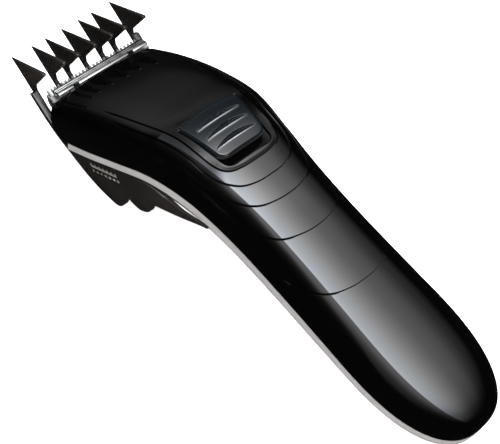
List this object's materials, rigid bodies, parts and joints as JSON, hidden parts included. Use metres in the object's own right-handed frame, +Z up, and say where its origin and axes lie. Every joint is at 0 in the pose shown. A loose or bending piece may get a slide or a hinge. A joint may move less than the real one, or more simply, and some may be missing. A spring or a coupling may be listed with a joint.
{
  "type": "hair clipper",
  "caption": "Cordless hair clipper with a bent head, ribbed slide switch, reciprocating steel cutter and a clip-on length comb that slides along the head.",
  "frame": {"origin": "on the ground under the middle of the resting clipper", "axes": "+X towards the blades and comb, +Y to the left of someone holding it, +Z up; it lies on the sole of its comb and the underside of its tail"},
  "size_m": [0.201, 0.0492, 0.0509],
  "materials": {
    "gloss_black": "gloss black moulded shell",
    "grey_shell": "warm light grey satin shell",
    "comb_brown": "smoky brown-black comb plastic",
    "black_plastic": "black engineering plastic",
    "slate": "dark blue-grey satin plastic",
    "steel": "ground stainless steel",
    "zinc": "zinc plated steel",
    "brass": "brass",
    "ivory": "ivory nylon",
    "board_green": "green circuit board",
    "cell_wrap": "cell wrap",
    "lead_red": "red wire sleeve",
    "lead_black": "black wire sleeve"
  },
  "bodies": {
    "handle": {"upper_housing": "gloss_black", "lower_housing": "grey_shell", "front_bulkhead": "black_plastic", "motor_can": "zinc", "motor_end_cap": "ivory", "motor_terminal_a": "brass", "motor_terminal_b": "brass", "motor_mount": "black_plastic", "motor_screw_a": "zinc", "motor_screw_b": "zinc", "slide_switch": "zinc", "circuit_board": "board_green", "board_chip": "black_plastic", "board_coil": "brass", "cell_left": "cell_wrap", "cell_right": "cell_wrap", "cell_cradle": "black_plastic", "battery_strap": "zinc", "battery_tab_a": "zinc", "battery_tab_b": "zinc", "charge_socket": "black_plastic", "socket_pin": "brass", "motor_lead_a": "lead_red", "motor_lead_b": "lead_black", "battery_lead_a": "lead_red", "battery_lead_b": "lead_black", "socket_lead_a": "lead_red", "socket_lead_b": "lead_black", "housing_screw_a": "zinc", "housing_screw_b": "zinc", "housing_screw_c": "zinc"},
    "power_switch": {"power_slider": "slate", "switch_knob": "ivory"},
    "motor_rotor": {"motor_shaft": "steel", "eccentric": "ivory"},
    "cutting_unit": {"fixed_blade": "steel", "blade_frame": "black_plastic", "guide_bar": "slate", "blade_screw_a": "zinc", "blade_screw_b": "zinc", "blade_spring": "steel"},
    "cutter": {"moving_blade": "steel", "drive_bridge": "slate"},
    "comb": {"comb_body": "comb_brown"},
    "comb_lock": {"comb_lock_button": "slate"}
  },
  "joints": [
    {"name": "comb_slide", "type": "slide", "parent": "handle", "child": "comb", "axis": [0.8796, 0, -0.4756], "range_m": [0, 0.018]},
    {"name": "comb_lock_press", "type": "hinge", "parent": "comb", "child": "comb_lock", "pos_m": [0.02945, 0, 0.01223], "axis": [0, 1, 0], "range_deg": [0, 8], "stiffness_Nm_per_rad": 0.02},
    {"name": "power_slide", "type": "slide", "parent": "handle", "child": "power_switch", "axis": [-0.9968, 0, -0.0802], "range_m": [0, 0.0032]},
    {"name": "motor_spin", "type": "hinge", "parent": "handle", "child": "motor_rotor", "pos_m": [0.07728, 0, 0.01746], "axis": [0.9728, 0, -0.2317], "continuous": true},
    {"name": "head_flip", "type": "hinge", "parent": "handle", "child": "cutting_unit", "pos_m": [0.07568, 0, 0.02325], "axis": [0, -1, 0], "range_deg": [0, 60]},
    {"name": "cutter_slide", "type": "slide", "parent": "cutting_unit", "child": "cutter", "axis": [0, 1, 0], "range_m": [-0.0012, 0.0012]}
  ]
}
